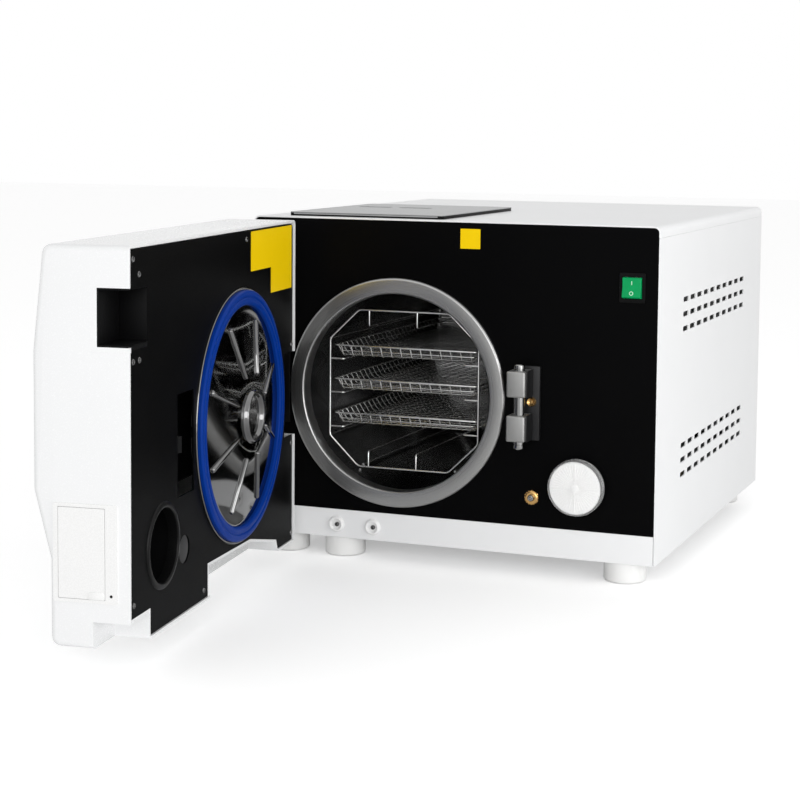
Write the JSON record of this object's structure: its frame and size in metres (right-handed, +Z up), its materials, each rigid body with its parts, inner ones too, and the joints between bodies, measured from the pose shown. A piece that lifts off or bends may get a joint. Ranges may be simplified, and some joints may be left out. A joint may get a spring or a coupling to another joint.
{
  "type": "benchtop autoclave",
  "caption": "Benchtop autoclave, door open: round chamber with wire rack and trays, ribbed door disc with gasket, hook latch and striker, switch, air filter, tank lid on top.",
  "frame": {"origin": "middle of the footprint of the whole object with its door open, on the table", "axes": "+X to the right seen from the front, +Y from the door to the rear panel, +Z up"},
  "size_m": [0.5566, 1.2272, 0.44],
  "materials": {
    "casing_white": "smooth powder coat",
    "panel_black": "glossy black",
    "steel_satin": "satin turned",
    "steel_polished": "polished",
    "steel_wire": "electropolished wire",
    "steel_cast": "fine blasted",
    "door_white": "smooth moulded",
    "black_plastic": "fine grain",
    "grey_plastic": "fine grain",
    "white_plastic": "smooth moulded",
    "lid_grey": "satin",
    "green_plastic": "lit green",
    "gasket_blue": "silicone",
    "brass": "machined",
    "insulation": "felt",
    "display_dark": "glossy window",
    "board_green": "circuit board",
    "foot_light": "soft moulded",
    "machine_grey": "as cast"
  },
  "bodies": {
    "casing": {"base_tray": "casing_white", "left_side_panel": "casing_white", "right_side_panel": "casing_white", "top_cover": "casing_white", "rear_panel": "casing_white", "front_panel": "panel_black", "feet": "foot_light", "flange_ring": "steel_satin", "chamber": "steel_polished", "heater_bands": "steel_cast", "insulation": "insulation", "chamber_cradle": "steel_cast", "water_tank": "white_plastic", "hinge_bracket": "steel_cast", "hinge_pin": "steel_polished", "striker_block": "steel_cast", "striker_pin": "steel_polished", "striker_screw": "brass", "switch_bezel": "black_plastic", "air_filter": "white_plastic", "brass_port": "brass", "drain_valves": "white_plastic", "fan_frame": "black_plastic", "condenser": "machine_grey", "steam_generator": "steel_cast", "vacuum_pump": "machine_grey", "water_pump": "black_plastic", "solenoid_valves": "brass", "power_supply": "machine_grey", "control_board": "board_green", "safety_valve": "brass", "mains_inlet": "black_plastic"},
    "door": {"door_shell": "door_white", "door_panel": "panel_black", "switch_recess": "black_plastic", "filter_cup": "grey_plastic", "port_cup": "grey_plastic", "door_disc": "steel_polished", "gasket": "gasket_blue", "door_beam": "steel_cast", "disc_stud": "steel_cast", "latch_motor": "black_plastic", "printer_frame": "white_plastic", "printer_unit": "black_plastic", "display_window": "display_dark", "display_board": "board_green", "door_screws": "steel_satin"},
    "latch": {"latch_hook": "steel_cast", "latch_shaft": "steel_polished"},
    "printer_flap": {"printer_lid": "white_plastic"},
    "rocker": {"power_rocker": "green_plastic"},
    "lid": {"tank_lid": "lid_grey", "lid_trim": "black_plastic"},
    "rack": {"rack_frame": "steel_wire"},
    "upper_tray": {"tray_1": "steel_wire"},
    "middle_tray": {"tray_2": "steel_wire"},
    "lower_tray": {"tray_3": "steel_wire"},
    "rotor": {"fan_rotor": "black_plastic"}
  },
  "joints": [
    {"name": "door_hinge", "type": "hinge", "parent": "casing", "child": "door", "pos_m": [-0.23673, -0.0984, 0.2164], "axis": [0, 0, -1], "range_deg": [-82.85, 12]},
    {"name": "latch_turn", "type": "hinge", "parent": "door", "child": "latch", "pos_m": [-0.18046, -0.44257, 0.213], "axis": [0, 0, -1], "range_deg": [-28, 0]},
    {"name": "printer_flap_hinge", "type": "hinge", "parent": "door", "child": "printer_flap", "pos_m": [-0.18415, -0.61235, 0.125], "axis": [0, 0, -1], "range_deg": [0, 100]},
    {"name": "power_rock", "type": "hinge", "parent": "casing", "child": "rocker", "pos_m": [0.24527, -0.0244, 0.361], "axis": [1, 0, 0], "range_deg": [0, 16]},
    {"name": "lid_lift", "type": "slide", "parent": "casing", "child": "lid", "axis": [0, 0, 1], "range_m": [0, 0.08]},
    {"name": "rack_slide", "type": "slide", "parent": "casing", "child": "rack", "axis": [0, -1, 0], "range_m": [0, 0.2]},
    {"name": "upper_tray_slide", "type": "slide", "parent": "rack", "child": "upper_tray", "axis": [0, -1, 0], "range_m": [0, 0.28]},
    {"name": "middle_tray_slide", "type": "slide", "parent": "rack", "child": "middle_tray", "axis": [0, -1, 0], "range_m": [0, 0.28]},
    {"name": "lower_tray_slide", "type": "slide", "parent": "rack", "child": "lower_tray", "axis": [0, -1, 0], "range_m": [0, 0.28]},
    {"name": "fan_spin", "type": "hinge", "parent": "casing", "child": "rotor", "pos_m": [0.18927, 0.5726, 0.176], "axis": [0, 1, 0], "continuous": true}
  ]
}
